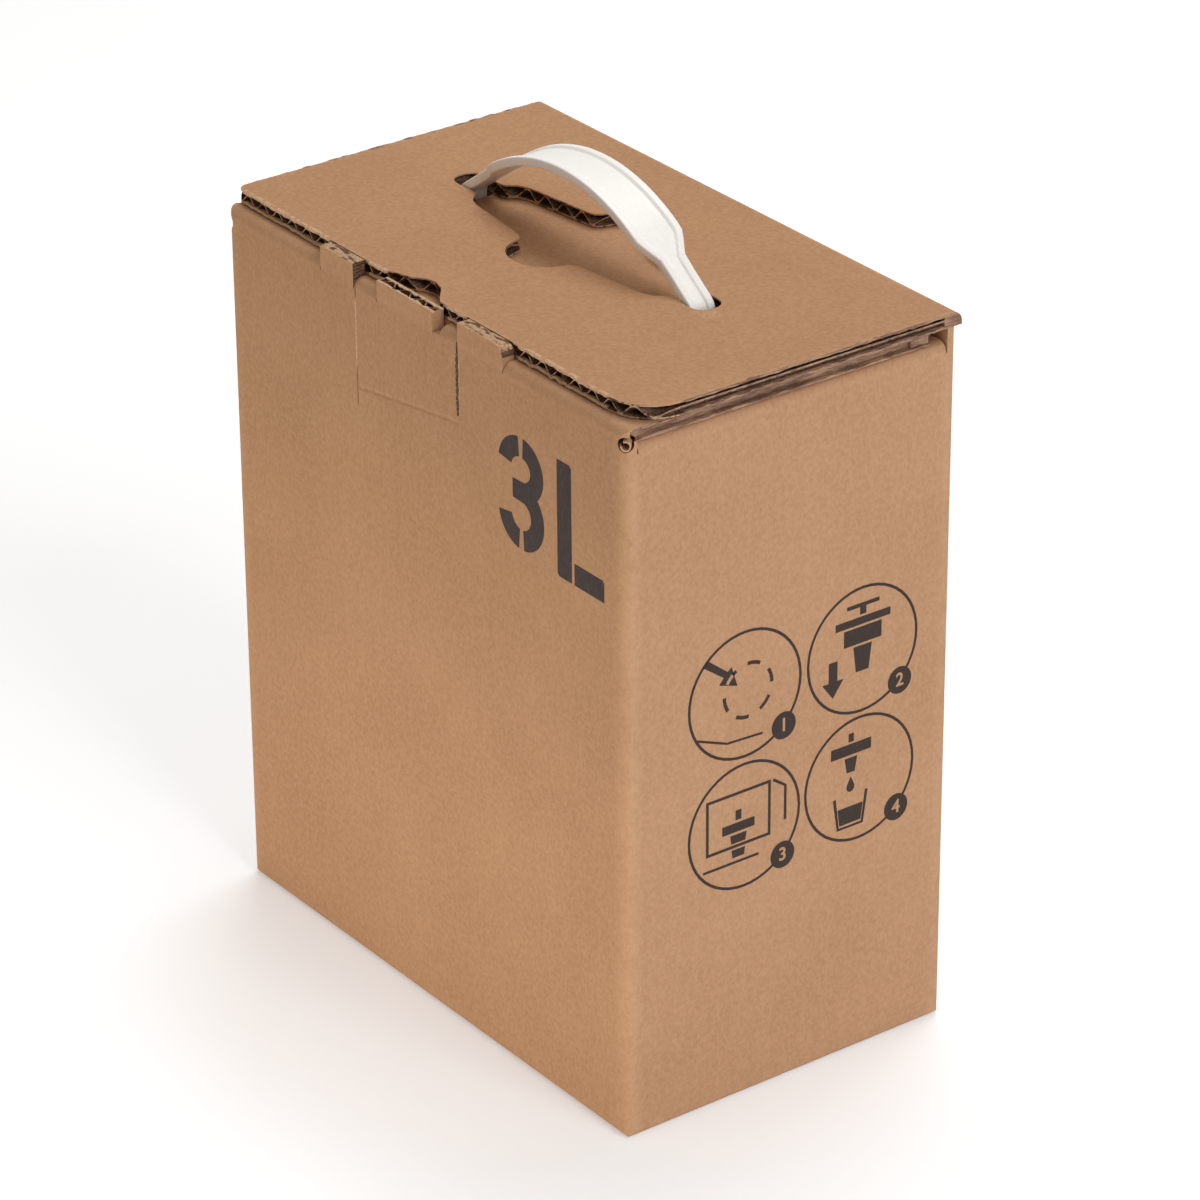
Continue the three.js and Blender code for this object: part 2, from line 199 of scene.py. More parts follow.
def fluteShow():
    # the corrugation shows faintly through the liner as soft parallel lines
    nodes, given, result = newGroup("fluteShow", [
        ("Across", "vector", (1, 1, 0)), ("Pitch", "value", 7.3 * mm)], [("Wave", "value")])
    where = nodes.place()
    dot = nodes.add("ShaderNodeVectorMath", operation="DOT_PRODUCT")
    nodes.join(where, dot.inputs[0])
    nodes.join(given["Across"], dot.inputs[1])
    wobble = nodes.math("MULTIPLY", nodes.noise(where, 60, 2), 0.0016)
    turns = nodes.math("DIVIDE", nodes.math("ADD", dot.outputs["Value"], wobble), given["Pitch"])
    wave = nodes.math("COSINE", nodes.math("MULTIPLY", turns, 2 * math.pi))
    patch = nodes.ramp(nodes.noise(where, 35, 2), 0.35, 0.7, 0.35, 1.0)
    nodes.join(nodes.math("MULTIPLY", nodes.math("MULTIPLY_ADD", wave, 0.5, 0.5), patch), result["Wave"])
    return nodes.tree


def place(nodes, tree, **values):
    node = nodes.add("ShaderNodeGroup", node_tree=tree)
    for key, value in values.items():
        nodes.put(node.inputs[key], value)
    return node.outputs


def startMaterial(name):
    material = bpy.data.materials.new(name)
    material.use_nodes = True
    nodes = Nodes(material.node_tree)
    return material, nodes, material.node_tree.nodes["Principled BSDF"].inputs


def bump(nodes, height, distance, strength=1.0, normal=None):
    node = nodes.add("ShaderNodeBump")
    node.inputs["Strength"].default_value = strength
    node.inputs["Distance"].default_value = distance
    nodes.join(height, node.inputs["Height"])
    if normal:
        nodes.join(normal, node.inputs["Normal"])
    return node.outputs[0]


fibres = paperFibres()
flutes = fluteShow()

kraftLook = {
    # the pale crease colour is a painted highlight with rubbed wear, used on creases and lid edges
    "wall": linear(190, 147, 112), "wallShade": linear(166, 124, 92), "highlightAndWear": linear(205, 163, 128),
    "lid": linear(189, 145, 108), "lidShade": linear(166, 122, 88),
    # the darkest cut colour is painted shade for the flute hollows
    "cut": linear(128, 98, 80), "paintedHollowShade": linear(70, 50, 40), "ink": linear(46, 33, 27),
    "inkWorn": linear(68, 51, 40), "torn": linear(212, 178, 144), "layer": linear(182, 146, 120),
    # the wide walls' tone is painted warm light
    "layerShade": linear(124, 94, 78), "wideWallWarmLight": (0.98, 0.95, 0.87, 1),
}


def kraftWall():
    material, nodes, shader = startMaterial("kraftWall")
    where = nodes.place()
    x, y, z = nodes.split(where)
    paper = place(nodes, fibres, Paper=kraftLook["wall"], Shade=kraftLook["wallShade"], Grain=(1, 1, 0.45),
                  Mottle=0.85)
    wave = place(nodes, flutes, Across=(1, 1, 0))["Wave"]
    colour = nodes.blend(nodes.math("MULTIPLY", wave, 0.10), paper["Color"], kraftLook["wallShade"])
    # painted highlight with rubbed wear: the four uprights and the folds at the top of the walls are tinted paler
    corner = nodes.math("ADD", nodes.math("ABSOLUTE", x), nodes.math("ABSOLUTE", y))
    upright = nodes.ramp(corner, 141.6 * mm, 145.2 * mm)
    sideFold = nodes.math("MULTIPLY", nodes.ramp(z, 205.2 * mm, 208.4 * mm),
                          nodes.math("SUBTRACT", 1.0, nodes.ramp(z, 209.3 * mm, 209.9 * mm)))
    sideFold = nodes.math("MULTIPLY", sideFold, nodes.ramp(nodes.math("ABSOLUTE", x), 90.5 * mm, 92 * mm))
    frontFold = nodes.math("MULTIPLY", nodes.ramp(z, 209.5 * mm, 212.6 * mm),
                           nodes.ramp(y, -50.5 * mm, -52.5 * mm))
    highlightAndWearMask = nodes.math("MAXIMUM", upright, nodes.math("MAXIMUM", sideFold, frontFold))
    patch = nodes.ramp(nodes.noise(where, 160, 4, 0.65), 0.3, 0.62, 0.25, 0.9)
    highlightAndWearMask = nodes.math("MULTIPLY", highlightAndWearMask, patch)
    colour = nodes.blend(nodes.math("MULTIPLY", highlightAndWearMask, 0.34), colour, kraftLook["highlightAndWear"])
    # painted light: the wide walls are tinted a little yellower and darker than the narrow ones, for the warmer light
    # that falls on them
    wide = nodes.ramp(nodes.math("ABSOLUTE", y), 53 * mm, 55 * mm)
    colour = nodes.blend(wide, colour, kraftLook["wideWallWarmLight"], "MULTIPLY")
    nodes.join(colour, shader["Base Color"])
    # a faint slanted crease runs across the foot of the centre tab
    slant = nodes.math("SUBTRACT", z, nodes.math("MULTIPLY_ADD", x, 0.147, 186.3 * mm))
    slant = nodes.math("ADD", slant, nodes.math("MULTIPLY_ADD", nodes.noise(where, 220, 2), 0.0016, -0.0008))
    line = nodes.ramp(nodes.math("ABSOLUTE", slant), 1.1 * mm, 0.0)
    onTab = nodes.math("MULTIPLY", nodes.ramp(x, -30 * mm, -28 * mm), nodes.ramp(x, 20 * mm, 17 * mm))
    line = nodes.math("MULTIPLY", nodes.math("MULTIPLY", line, onTab), nodes.ramp(y, -54 * mm, -55 * mm))
    height = nodes.math("MULTIPLY_ADD", wave, -0.5, nodes.math("MULTIPLY", paper["Height"], 0.35))
    height = nodes.math("MULTIPLY_ADD", line, -1.6, height)
    height = nodes.math("MULTIPLY_ADD", nodes.noise(where, 14, 2), 6.0, height)
    nodes.join(bump(nodes, height, 0.11 * mm), shader["Normal"])
    nodes.join(nodes.ramp(paper["Height"], 0.3, 0.7, 0.8, 0.94), shader["Roughness"])
    shader["Specular IOR Level"].default_value = 0.28
    return material


def kraftLid():
    material, nodes, shader = startMaterial("kraftLid")
    where = nodes.place()
    paper = place(nodes, fibres, Paper=kraftLook["lid"], Shade=kraftLook["lidShade"], Grain=(1, 0.45, 1),
                  Mottle=0.8)
    wave = place(nodes, flutes, Across=(1, 0, 0))["Wave"]
    colour = nodes.blend(nodes.math("MULTIPLY", wave, 0.09), paper["Color"], kraftLook["lidShade"])
    # pale scuff beside the right end of the handle's opening, and a painted highlight with rubbed wear along the outer
    # edges
    offset = nodes.add("ShaderNodeVectorMath", operation="DISTANCE")
    nodes.join(where, offset.inputs[0])
    offset.inputs[1].default_value = (55.5 * mm, 0.5 * mm, 218 * mm)
    scuff = nodes.ramp(offset.outputs["Value"], 4.5 * mm, 1.0 * mm)
    scuff = nodes.math("MULTIPLY", scuff, nodes.ramp(nodes.noise(where, 500, 3), 0.42, 0.6))
    x, y, z = nodes.split(where)
    rim = nodes.math("MAXIMUM", nodes.ramp(nodes.math("ABSOLUTE", x), 91.8 * mm, 93.4 * mm),
                     nodes.ramp(y, -49.6 * mm, -51 * mm))
    rim = nodes.math("MAXIMUM", rim, nodes.ramp(y, 51.6 * mm, 54 * mm))
    rim = nodes.math("MULTIPLY", rim, nodes.ramp(nodes.noise(where, 260, 4, 0.65), 0.4, 0.62, 0.1, 0.7))
    highlightAndWearMask = nodes.math("MAXIMUM", nodes.math("MULTIPLY", scuff, 0.8), rim)
    colour = nodes.blend(nodes.math("MULTIPLY", highlightAndWearMask, 0.6), colour, kraftLook["highlightAndWear"])
    nodes.join(colour, shader["Base Color"])
    height = nodes.math("MULTIPLY_ADD", wave, -0.45, nodes.math("MULTIPLY", paper["Height"], 0.35))
    height = nodes.math("MULTIPLY_ADD", nodes.noise(where, 16, 2), 7.0, height)
    nodes.join(bump(nodes, height, 0.11 * mm), shader["Normal"])
    nodes.join(nodes.ramp(paper["Height"], 0.3, 0.7, 0.78, 0.92), shader["Roughness"])
    shader["Specular IOR Level"].default_value = 0.3
    return material


def cutEdge():
    # raw edges and the fluted medium: greyer, with crushed layers, and darkened with painted shade for the flute
    # hollows
    material, nodes, shader = startMaterial("cutEdge")
    where = nodes.place()
    layers = nodes.noise(nodes.stretched(where, (1, 1, 5)), 420, 4, 0.65)
    grit = nodes.noise(where, 1500, 3, 0.6)
    dark = nodes.ramp(nodes.math("MULTIPLY_ADD", grit, 0.4, nodes.math("MULTIPLY", layers, 0.6)), 0.38, 0.62)
    nodes.join(nodes.blend(dark, kraftLook["paintedHollowShade"], kraftLook["cut"]), shader["Base Color"])
    nodes.join(bump(nodes, layers, 0.25 * mm), shader["Normal"])
    nodes.join(nodes.ramp(grit, 0.3, 0.7, 0.85, 1.0), shader["Roughness"])
    shader["Specular IOR Level"].default_value = 0.15
    return material


def layeredEdge():
    # crushed liner edges: paler than the hollow flutes behind them
    material, nodes, shader = startMaterial("layeredEdge")
    where = nodes.place()
    streak = nodes.noise(nodes.stretched(where, (1, 0.25, 3)), 700, 4, 0.7)
    patch = nodes.noise(where, 120, 2)
    tone = nodes.ramp(nodes.math("MULTIPLY_ADD", patch, 0.4, nodes.math("MULTIPLY", streak, 0.6)), 0.4, 0.6)
    nodes.join(nodes.blend(tone, kraftLook["layerShade"], kraftLook["layer"]), shader["Base Color"])
    nodes.join(bump(nodes, streak, 0.25 * mm), shader["Normal"])
    nodes.join(nodes.ramp(streak, 0.3, 0.7, 0.82, 0.98), shader["Roughness"])
    shader["Specular IOR Level"].default_value = 0.2
    return material


def crushedEnd():
    # board cut across its flutes: pale liners, with painted shade for the lens-shaped hollows of the flutes
    material, nodes, shader = startMaterial("crushedEnd")
    where = nodes.place()
    hollow = nodes.noise(nodes.stretched(where, (0.42, 1, 1)), 620, 2, 0.4)
    fuzz = nodes.noise(where, 1600, 3, 0.65)
    pale = nodes.blend(nodes.ramp(fuzz, 0.3, 0.7), kraftLook["torn"], kraftLook["wallShade"])
    nodes.join(nodes.blend(nodes.ramp(hollow, 0.53, 0.62, 0.0, 0.85), pale, kraftLook["paintedHollowShade"]),
               shader["Base Color"])
    nodes.join(bump(nodes, nodes.math("MULTIPLY_ADD", hollow, -1.2, fuzz), 0.3 * mm), shader["Normal"])
    nodes.join(nodes.ramp(fuzz, 0.3, 0.7, 0.85, 1.0), shader["Roughness"])
    shader["Specular IOR Level"].default_value = 0.15
    return material


def rubbedRim():
    # the thin corner of a cut edge: pale patches that are partly painted highlight and partly liner fibres showing
    material, nodes, shader = startMaterial("rubbedRim")
    where = nodes.place()
    patch = nodes.ramp(nodes.noise(where, 110, 3, 0.6), 0.45, 0.62)
    fuzz = nodes.noise(where, 1500, 3, 0.65)
    colour = nodes.blend(patch, kraftLook["lid"], kraftLook["torn"])
    nodes.join(nodes.blend(nodes.ramp(fuzz, 0.45, 0.7, 0.0, 0.4), colour, kraftLook["lidShade"]),
               shader["Base Color"])
    nodes.join(bump(nodes, fuzz, 0.15 * mm), shader["Normal"])
    nodes.join(nodes.ramp(fuzz, 0.3, 0.7, 0.82, 0.98), shader["Roughness"])
    shader["Specular IOR Level"].default_value = 0.2
    return material


def tornPaper():
    material, nodes, shader = startMaterial("tornPaper")
    where = nodes.place()
    fuzz = nodes.noise(where, 1700, 4, 0.7)
    nodes.join(nodes.blend(nodes.ramp(fuzz, 0.35, 0.65), kraftLook["torn"], kraftLook["wall"]),
               shader["Base Color"])
    nodes.join(bump(nodes, fuzz, 0.2 * mm), shader["Normal"])
    nodes.join(nodes.ramp(fuzz, 0.3, 0.7, 0.86, 1.0), shader["Roughness"])
    return material


def printInk():
    # flexographic ink soaks in, so fibres show through it
    material, nodes, shader = startMaterial("printInk")
    where = nodes.place()
    fine = nodes.noise(nodes.stretched(where, (1, 1, 0.3)), 1400, 3, 0.65)
    broad = nodes.noise(where, 260, 3)
    thin = nodes.math("MULTIPLY", nodes.ramp(fine, 0.52, 0.72), nodes.ramp(broad, 0.35, 0.65, 0.3, 1.0))
    nodes.join(nodes.blend(thin, kraftLook["ink"], kraftLook["inkWorn"]), shader["Base Color"])
    wave = place(nodes, flutes, Across=(1, 1, 0))["Wave"]
    nodes.join(bump(nodes, nodes.math("MULTIPLY_ADD", fine, 0.4, nodes.math("MULTIPLY", wave, -0.5)), 0.1 * mm),
               shader["Normal"])
    nodes.join(nodes.ramp(fine, 0.3, 0.7, 0.62, 0.8), shader["Roughness"])
    shader["Specular IOR Level"].default_value = 0.3
    return material


strapLook = {"white": linear(252, 250, 248), "shade": linear(248, 246, 243), "lineGap": 0.85 * mm}


def whitePlastic():
    # satin moulded plastic with fine lines along the field between the rims
    material, nodes, shader = startMaterial("whitePlastic")
    where = nodes.place()
    x, y, z = nodes.split(where)
    soft = nodes.noise(where, 90, 3)
    fine = nodes.noise(nodes.stretched(where, (0.2, 1, 1)), 1600, 3)
    nodes.join(nodes.blend(nodes.ramp(soft, 0.3, 0.75, 0.0, 0.6), strapLook["white"], strapLook["shade"]),
               shader["Base Color"])
    across = nodes.math("ABSOLUTE", nodes.math("SUBTRACT", y, 4 * mm))
    lines = nodes.math("SINE", nodes.math("MULTIPLY", across, 2 * math.pi / strapLook["lineGap"]))
    inField = nodes.ramp(across, 5.5 * mm, 4.9 * mm)
    grain = nodes.math("MULTIPLY", fine, 0.25)
    height = nodes.math("MULTIPLY_ADD", nodes.math("MULTIPLY", lines, inField), 0.35, grain)
    nodes.join(bump(nodes, height, 0.07 * mm), shader["Normal"])
    nodes.join(nodes.ramp(fine, 0.3, 0.7, 0.34, 0.46), shader["Roughness"])
    shader["Specular IOR Level"].default_value = 0.5
    return material


wallPaper, lidPaper, rawEdgeAndShade, torn = kraftWall(), kraftLid(), cutEdge(), tornPaper()
layered, crushed, rimHighlightFray = layeredEdge(), crushedEnd(), rubbedRim()
ink, plastic = printInk(), whitePlastic()
print("materials made")


# board: the folded blank and its lid, softened along every edge
boardLook = {"mergeWithin": 0.002 * mm, "flatWithin": 0.4, "edgeRound": 0.28 * mm, "roundSteps": 2, "roundFrom": 32}

# a face of the board shows one of these, in this order
boardSides = {"paper": 0, "hollow": 1, "layer": 2, "end": 3, "rim": 4}


def softBoard(node, name, body, sideOf, paper):
    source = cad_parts[node]
    piece = bpy.data.objects.new(name, source.data.copy())
    scene.collection.objects.link(piece)
    only(piece)
    bpy.ops.object.mode_set(mode="EDIT")
    bpy.ops.mesh.select_all(action="SELECT")
    bpy.ops.mesh.remove_doubles(threshold=boardLook["mergeWithin"])
    bpy.ops.mesh.dissolve_limited(angle_limit=math.radians(boardLook["flatWithin"]))
    bpy.ops.object.mode_set(mode="OBJECT")
    modify(piece, "BEVEL", width=boardLook["edgeRound"], segments=boardLook["roundSteps"],
           limit_method="ANGLE", angle_limit=math.radians(boardLook["roundFrom"]), use_clamp_overlap=True)
    settle(piece, body, "kraft_board", paper, rawEdgeAndShade, layered, crushed, rimHighlightFray, smooth=50)
    for face in piece.data.polygons:
        face.material_index = boardSides[sideOf(face.center / mm, face.normal)]
    modify(piece, "WEIGHTED_NORMAL", keep_sharp=True)
    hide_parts(node)
    return piece


def bodySide(p, normal):
    if p.z > 209.9 and p.z < 213.75 and abs(p.x) > 84 and abs(p.y) < 52.5:   # edges of the inner flap
        return "layer"
    if p.z > 213.95 and -55.3 < p.y < -51.2:                                 # tops of the upstands
        return "end" if normal.z > 0.5 else "hollow" if abs(p.x) < 50 and -54.9 < p.y < -51.9 else "paper"
    if 210.1 < p.z < 213.5 and abs(p.y) < 50:                                # the slots in the inner flap
        return "layer"
    return "paper"


def lidSide(p, normal):
    if p.y > 52 and abs(normal.x) < 0.5:
        return "paper"
    if 214.5 < p.z < 217.7:
        # channels run along Y, so their walls have no slope along Y
        if abs(normal.y) < 0.02 and abs(p.x) < 93:
            return "hollow"
        return "layer" if abs(normal.x) > 0.8 else "end"
    if 217.7 <= p.z < 218.09 and normal.z < 0.97:
        return "rim"
    return "end" if p.z < 217.7 and normal.z > -0.5 else "paper"


cartonBoard = softBoard("carton_body", "cartonBoard", "carton", bodySide, wallPaper)
lidBoard = softBoard("lid", "lidBoard", "lid", lidSide, lidPaper)
print("board made:", len(cartonBoard.data.polygons), len(lidBoard.data.polygons))


# strap handle, in millimetres
strap = {
    "middle": (-5, 4), "top": 241.1, "thickness": 2.7, "gripHalf": 7.75, "neckHalf": 4.0, "rim": 2.1, "dip": 0.8,
    "archRadius": 62, "archHalf": 36, "taperFrom": 33, "taperLength": 8, "bendFrom": 51.5, "bendRadius": 5,
    "foot": 207.3, "round": 0.8, "anchor": (7, 20, 2.2),
}


def strapStations():
    # (x from the middle, z, lean in radians) of the top face, from the middle to one foot
    radius, top = strap["archRadius"], strap["top"]
    lean = math.asin(strap["archHalf"] / radius)
    stations = [(radius * math.sin(lean * i / 16), top - radius * (1 - math.cos(lean * i / 16)), lean * i / 16)
                for i in range(17)]
    x, z, _ = stations[-1]
    for i in (1, 2, 3):
        along = (strap["bendFrom"] - x) * i / 4
        stations.append((x + along, z - along * math.tan(lean), lean))
    bendZ = z - (strap["bendFrom"] - x) * math.tan(lean)
    turn = strap["bendRadius"]
    cx, cz = strap["bendFrom"] - turn * math.sin(lean), bendZ - turn * math.cos(lean)
    for i in range(8):
        angle = lean + (math.pi / 2 - lean) * i / 7
        stations.append((cx + turn * math.sin(angle), cz + turn * math.cos(angle), angle))
    stations.append((cx + turn, strap["foot"], math.pi / 2))
    return stations


def halfWidth(x):
    share = min(max((x - strap["taperFrom"]) / strap["taperLength"], 0), 1)
    return strap["gripHalf"] + (strap["neckHalf"] - strap["gripHalf"]) * (1 - math.cos(math.pi * share)) / 2


def strapHandle():
    midX, midY = strap["middle"]
    only()
    bpy.ops.mesh.primitive_plane_add(size=1, location=(midX * mm, midY * mm, strap["top"] * mm),
                                     rotation=(0, math.pi / 2, 0))
    piece = newest("strapHandle")
    piece.scale = (strap["thickness"] * mm, 2 * strap["gripHalf"] * mm, 1)
    bpy.ops.object.transform_apply(location=False, rotation=True, scale=True)
    bpy.ops.object.mode_set(mode="EDIT")
    bpy.ops.mesh.select_all(action="SELECT")
    bpy.ops.transform.translate(value=(0, 0, -strap["thickness"] / 2 * mm))
    inner = strap["gripHalf"] - strap["rim"]
    slope = 0.5
    for edge in (inner, inner - slope, -inner, slope - inner):   # lines between the rims and the field
        bpy.ops.mesh.select_all(action="SELECT")
        bpy.ops.mesh.bisect(plane_co=(midX * mm, (midY + edge) * mm, 0), plane_no=(0, 1, 0))
    pick(piece, "VERT", lambda v: v.co.z > -0.1 * mm and abs(v.co.y) < (inner - 0.5 * slope) * mm)
    bpy.ops.transform.translate(value=(0, 0, -strap["dip"] * mm))
    bpy.ops.mesh.select_mode(type="FACE")
    bpy.ops.mesh.select_all(action="SELECT")
    stations = strapStations()
    middle = Vector((midX * mm, midY * mm, 0))
    for (x0, z0, lean0), (x1, z1, lean1) in zip(stations, stations[1:]):
        bpy.ops.mesh.extrude_region_move(
            TRANSFORM_OT_translate={"value": ((x1 - x0) * mm, 0, (z1 - z0) * mm)})
        centre = middle + Vector((x1 * mm, 0, z1 * mm))
        bpy.ops.transform.rotate(value=-(lean1 - lean0), orient_axis="Y", center_override=centre)
        # the rims keep their width while the strap narrows, so each row of points moves by the same amount
        narrower = (halfWidth(x0) - halfWidth(x1)) * mm
        if narrower > 1e-7:
            shape = bmesh.from_edit_mesh(piece.data)
            chosen = [v.index for v in shape.verts if v.select]
            for sign in (1, -1):
                pick(piece, "VERT", lambda v: v.index in chosen and v.co.y * sign > 0.1 * mm)
                bpy.ops.transform.translate(value=(0, -sign * narrower, 0))
            pick(piece, "VERT", lambda v: v.index in chosen)
            bpy.ops.mesh.select_mode(type="FACE")
    pick(piece, "FACE", lambda f: abs(f.calc_center_median().x) < 1e-6 and abs(f.normal.x) > 0.9)
    bpy.ops.mesh.delete(type="FACE")
    bpy.ops.mesh.select_all(action="SELECT")
    bpy.ops.mesh.normals_make_consistent(inside=False)
    bpy.ops.object.mode_set(mode="OBJECT")
    modify(piece, "MIRROR", use_axis=(True, False, False), use_clip=True, merge_threshold=0.01 * mm)
    only(piece)
    bpy.ops.object.mode_set(mode="EDIT")
    bpy.ops.mesh.select_all(action="SELECT")
    bpy.ops.mesh.remove_doubles(threshold=0.005 * mm)
    bpy.ops.mesh.normals_make_consistent(inside=False)
    bpy.ops.object.mode_set(mode="OBJECT")
    modify(piece, "BEVEL", width=strap["round"] * mm, segments=4, limit_method="ANGLE",
           angle_limit=math.radians(28), use_clamp_overlap=True)
    footX = stations[-1][0] - strap["thickness"] / 2
    length, width, height = strap["anchor"]
    anchors = []
    for sign in (1, -1):
        only()
        bpy.ops.mesh.primitive_cube_add(size=1, location=((midX + sign * footX) * mm, midY * mm,
                                                          (strap["foot"] + height / 2) * mm))
        plate = newest("anchorPlate")
        plate.scale = (length * mm, width * mm, height * mm)
        bpy.ops.object.transform_apply(location=False, rotation=False, scale=True)
        modify(plate, "BEVEL", width=0.8 * mm, segments=3)
        anchors.append(plate)
    only(piece, *anchors)
    bpy.ops.object.join()
    settle(piece, "carton", "white_plastic", plastic, smooth=40)
    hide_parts("handle")
    return piece


handlePiece = strapHandle()
print("handle made:", len(handlePiece.data.polygons))


# wavy liner edges where the board was cut along its flutes
edgeLook = {"thickness": 0.5 * mm, "round": 0.12 * mm, "swing": 0.9 * mm, "grain": 2.4 * mm, "step": 0.8}
edgeNoise = bpy.data.textures.new("crushedEdge", "CLOUDS")
edgeNoise.noise_scale = edgeLook["grain"]
edgeNoise.noise_depth = 1


def linerEdge(name, body, across, start, end, z, material, along="Y", outward=1, lift=0.75, thick=1.0,
               wide=1.5):
    # a thin strip whose free side is crushed into waves; it lies along Y at x = across, or along X at y = across
    only()
    middle = (across, (start + end) / 2) if along == "Y" else ((start + end) / 2, across)
    bpy.ops.mesh.primitive_grid_add(x_subdivisions=3, y_subdivisions=int((end - start) / edgeLook["step"]), size=1,
                                    location=(middle[0] * mm, middle[1] * mm, z * mm),
                                    rotation=(0, 0, 0 if along == "Y" else -math.pi / 2))
    piece = newest(name)
    piece.scale = (wide * mm, (end - start) * mm, 1)
    bpy.ops.object.transform_apply(location=True, rotation=True, scale=True)
    free = piece.vertex_groups.new(name="free")
    side, run = (0, 1) if along == "Y" else (1, 0)
    for v in piece.data.vertices:
        share = (outward * (v.co[side] / mm - across) + wide / 2) / wide
        ends = min(v.co[run] / mm - start, end - v.co[run] / mm, 3) / 3
        free.add([v.index], min(max(share, 0), 1) * max(ends, 0), "REPLACE")
    modify(piece, "DISPLACE", texture=edgeNoise, texture_coords="LOCAL", direction="Z",
           strength=2 * lift * edgeLook["swing"], mid_level=0.5, vertex_group="free")
    modify(piece, "DISPLACE", texture=edgeNoise, texture_coords="LOCAL", direction="XY"[side],
           strength=lift * edgeLook["swing"], mid_level=0.5, vertex_group="free")
    modify(piece, "SOLIDIFY", thickness=thick * edgeLook["thickness"], offset=0)
    modify(piece, "BEVEL", width=edgeLook["round"], segments=2, limit_method="ANGLE", angle_limit=math.radians(50))
    return settle(piece, body, "kraft_board", material, smooth=60)


# where the liners lie, in millimetres
linerPlaces = {
    "lidSide": 93.1, "lidSideFrom": {"Right": -37, "Left": -47}, "lidSideTo": 51.5, "lidTop": 217.8, "lidLow": 214.55,
    "flapSide": 91.6, "flapFrom": -50, "flapTo": 45.4, "flapTop": 213.3, "flapLow": 210.35,
    "lidFront": -50.7, "lidFrontTop": 217.75, "lidFrontLow": 214.6,
    "lidFrontSpans": [(-90, -47), (-28.2, -20.2), (8.6, 17.4), (40.6, 79)],   # between the upstands
    "tabSpan": (-18.9, 7.4), "tabFront": -54.95, "tabBack": -52.0, "tabTop": 216.8, "tabWide": 0.9,
}
at = linerPlaces
for label, sign in (("Right", 1), ("Left", -1)):
    lidSpan, flapSpan = (at["lidSideFrom"][label], at["lidSideTo"]), (at["flapFrom"], at["flapTo"])
    linerEdge("lidTopLiner" + label, "lid", sign * at["lidSide"], *lidSpan, at["lidTop"], layered,
              outward=sign, lift=0.6)
    linerEdge("lidLowLiner" + label, "lid", sign * at["lidSide"], *lidSpan, at["lidLow"], layered,
              outward=sign, lift=1.0)
    linerEdge("flapTopLiner" + label, "carton", sign * at["flapSide"], *flapSpan, at["flapTop"], layered,
              outward=sign, lift=0.7)
    linerEdge("flapLowLiner" + label, "carton", sign * at["flapSide"], *flapSpan, at["flapLow"], layered,
              outward=sign, lift=0.9)
for count, (start, end) in enumerate(at["lidFrontSpans"]):
    linerEdge("lidFrontTop" + str(count), "lid", at["lidFront"], start, end, at["lidFrontTop"], torn, along="X",
              outward=-1, lift=0.45, thick=1.4)
    linerEdge("lidFrontLow" + str(count), "lid", at["lidFront"], start, end, at["lidFrontLow"], torn, along="X",
              outward=-1, lift=0.8, thick=1.6)
# frayed liners on top of the centre tab
for name, across, outward in (("tabTopFront", at["tabFront"], 1), ("tabTopBack", at["tabBack"], -1)):
    linerEdge(name, "carton", across, *at["tabSpan"], at["tabTop"], torn, along="X", outward=outward, lift=0.7,
              wide=at["tabWide"])


flapEndLook = {"middle": (90.5, 42.6, 211.8), "size": (2.2, 6.2, 3.8), "round": 0.3 * mm}


def flapEnd(name, sign):
    # the inner flap's layers run on a little beyond its solid end
    x, y, z = flapEndLook["middle"]
    only()
    bpy.ops.mesh.primitive_cube_add(size=1, location=(sign * x * mm, y * mm, z * mm))
    piece = newest(name)
    piece.scale = [size * mm for size in flapEndLook["size"]]
    bpy.ops.object.transform_apply(location=True, rotation=True, scale=True)
    modify(piece, "BEVEL", width=flapEndLook["round"], segments=2)
    return settle(piece, "carton", "kraft_board", layered, smooth=40)


flapEnd("flapEndRight", 1)
flapEnd("flapEndLeft", -1)
print("liner edges made")


# curled paper in the open corner of the folded blank
curlLook = {"radius": 1.25 * mm, "length": 4.2 * mm, "paper": 0.32 * mm, "crumple": 0.5 * mm, "openFrom": 2.2,
            "middle": (90.7, -53.7, 209.3), "tilt": 84, "turn": 52}


def cornerCurl(name, sign):
    only()
    bpy.ops.mesh.primitive_cylinder_add(vertices=24, radius=curlLook["radius"], depth=curlLook["length"],
                                        end_fill_type="NOTHING", location=(0, 0, 0))
    piece = newest(name)
    pick(piece, "FACE", lambda f: math.atan2(f.calc_center_median().y, f.calc_center_median().x)
         > curlLook["openFrom"])
    bpy.ops.mesh.delete(type="FACE")
    bpy.ops.mesh.select_all(action="SELECT")
    bpy.ops.mesh.subdivide(number_cuts=2)
    bpy.ops.object.mode_set(mode="OBJECT")
    modify(piece, "DISPLACE", texture=edgeNoise, texture_coords="LOCAL", direction="NORMAL",
           strength=curlLook["crumple"], mid_level=0.5)
    modify(piece, "SOLIDIFY", thickness=curlLook["paper"], offset=0)
    piece.rotation_euler = (math.radians(curlLook["tilt"]), 0, sign * math.radians(curlLook["turn"]))
    x, y, z = curlLook["middle"]
    piece.location = (sign * x * mm, y * mm, z * mm)
    return settle(piece, "carton", "kraft_board", torn, smooth=60)


cornerCurl("cornerCurlRight", 1)
print("corner curl made")


# print: flat film of ink, made from outlines in the plane of its wall
film = {"lift": 0.03 * mm, "half": 0.015 * mm}
wallTurn = {"front": (math.pi / 2, 0, 0), "right": (math.pi / 2, 0, math.pi / 2)}


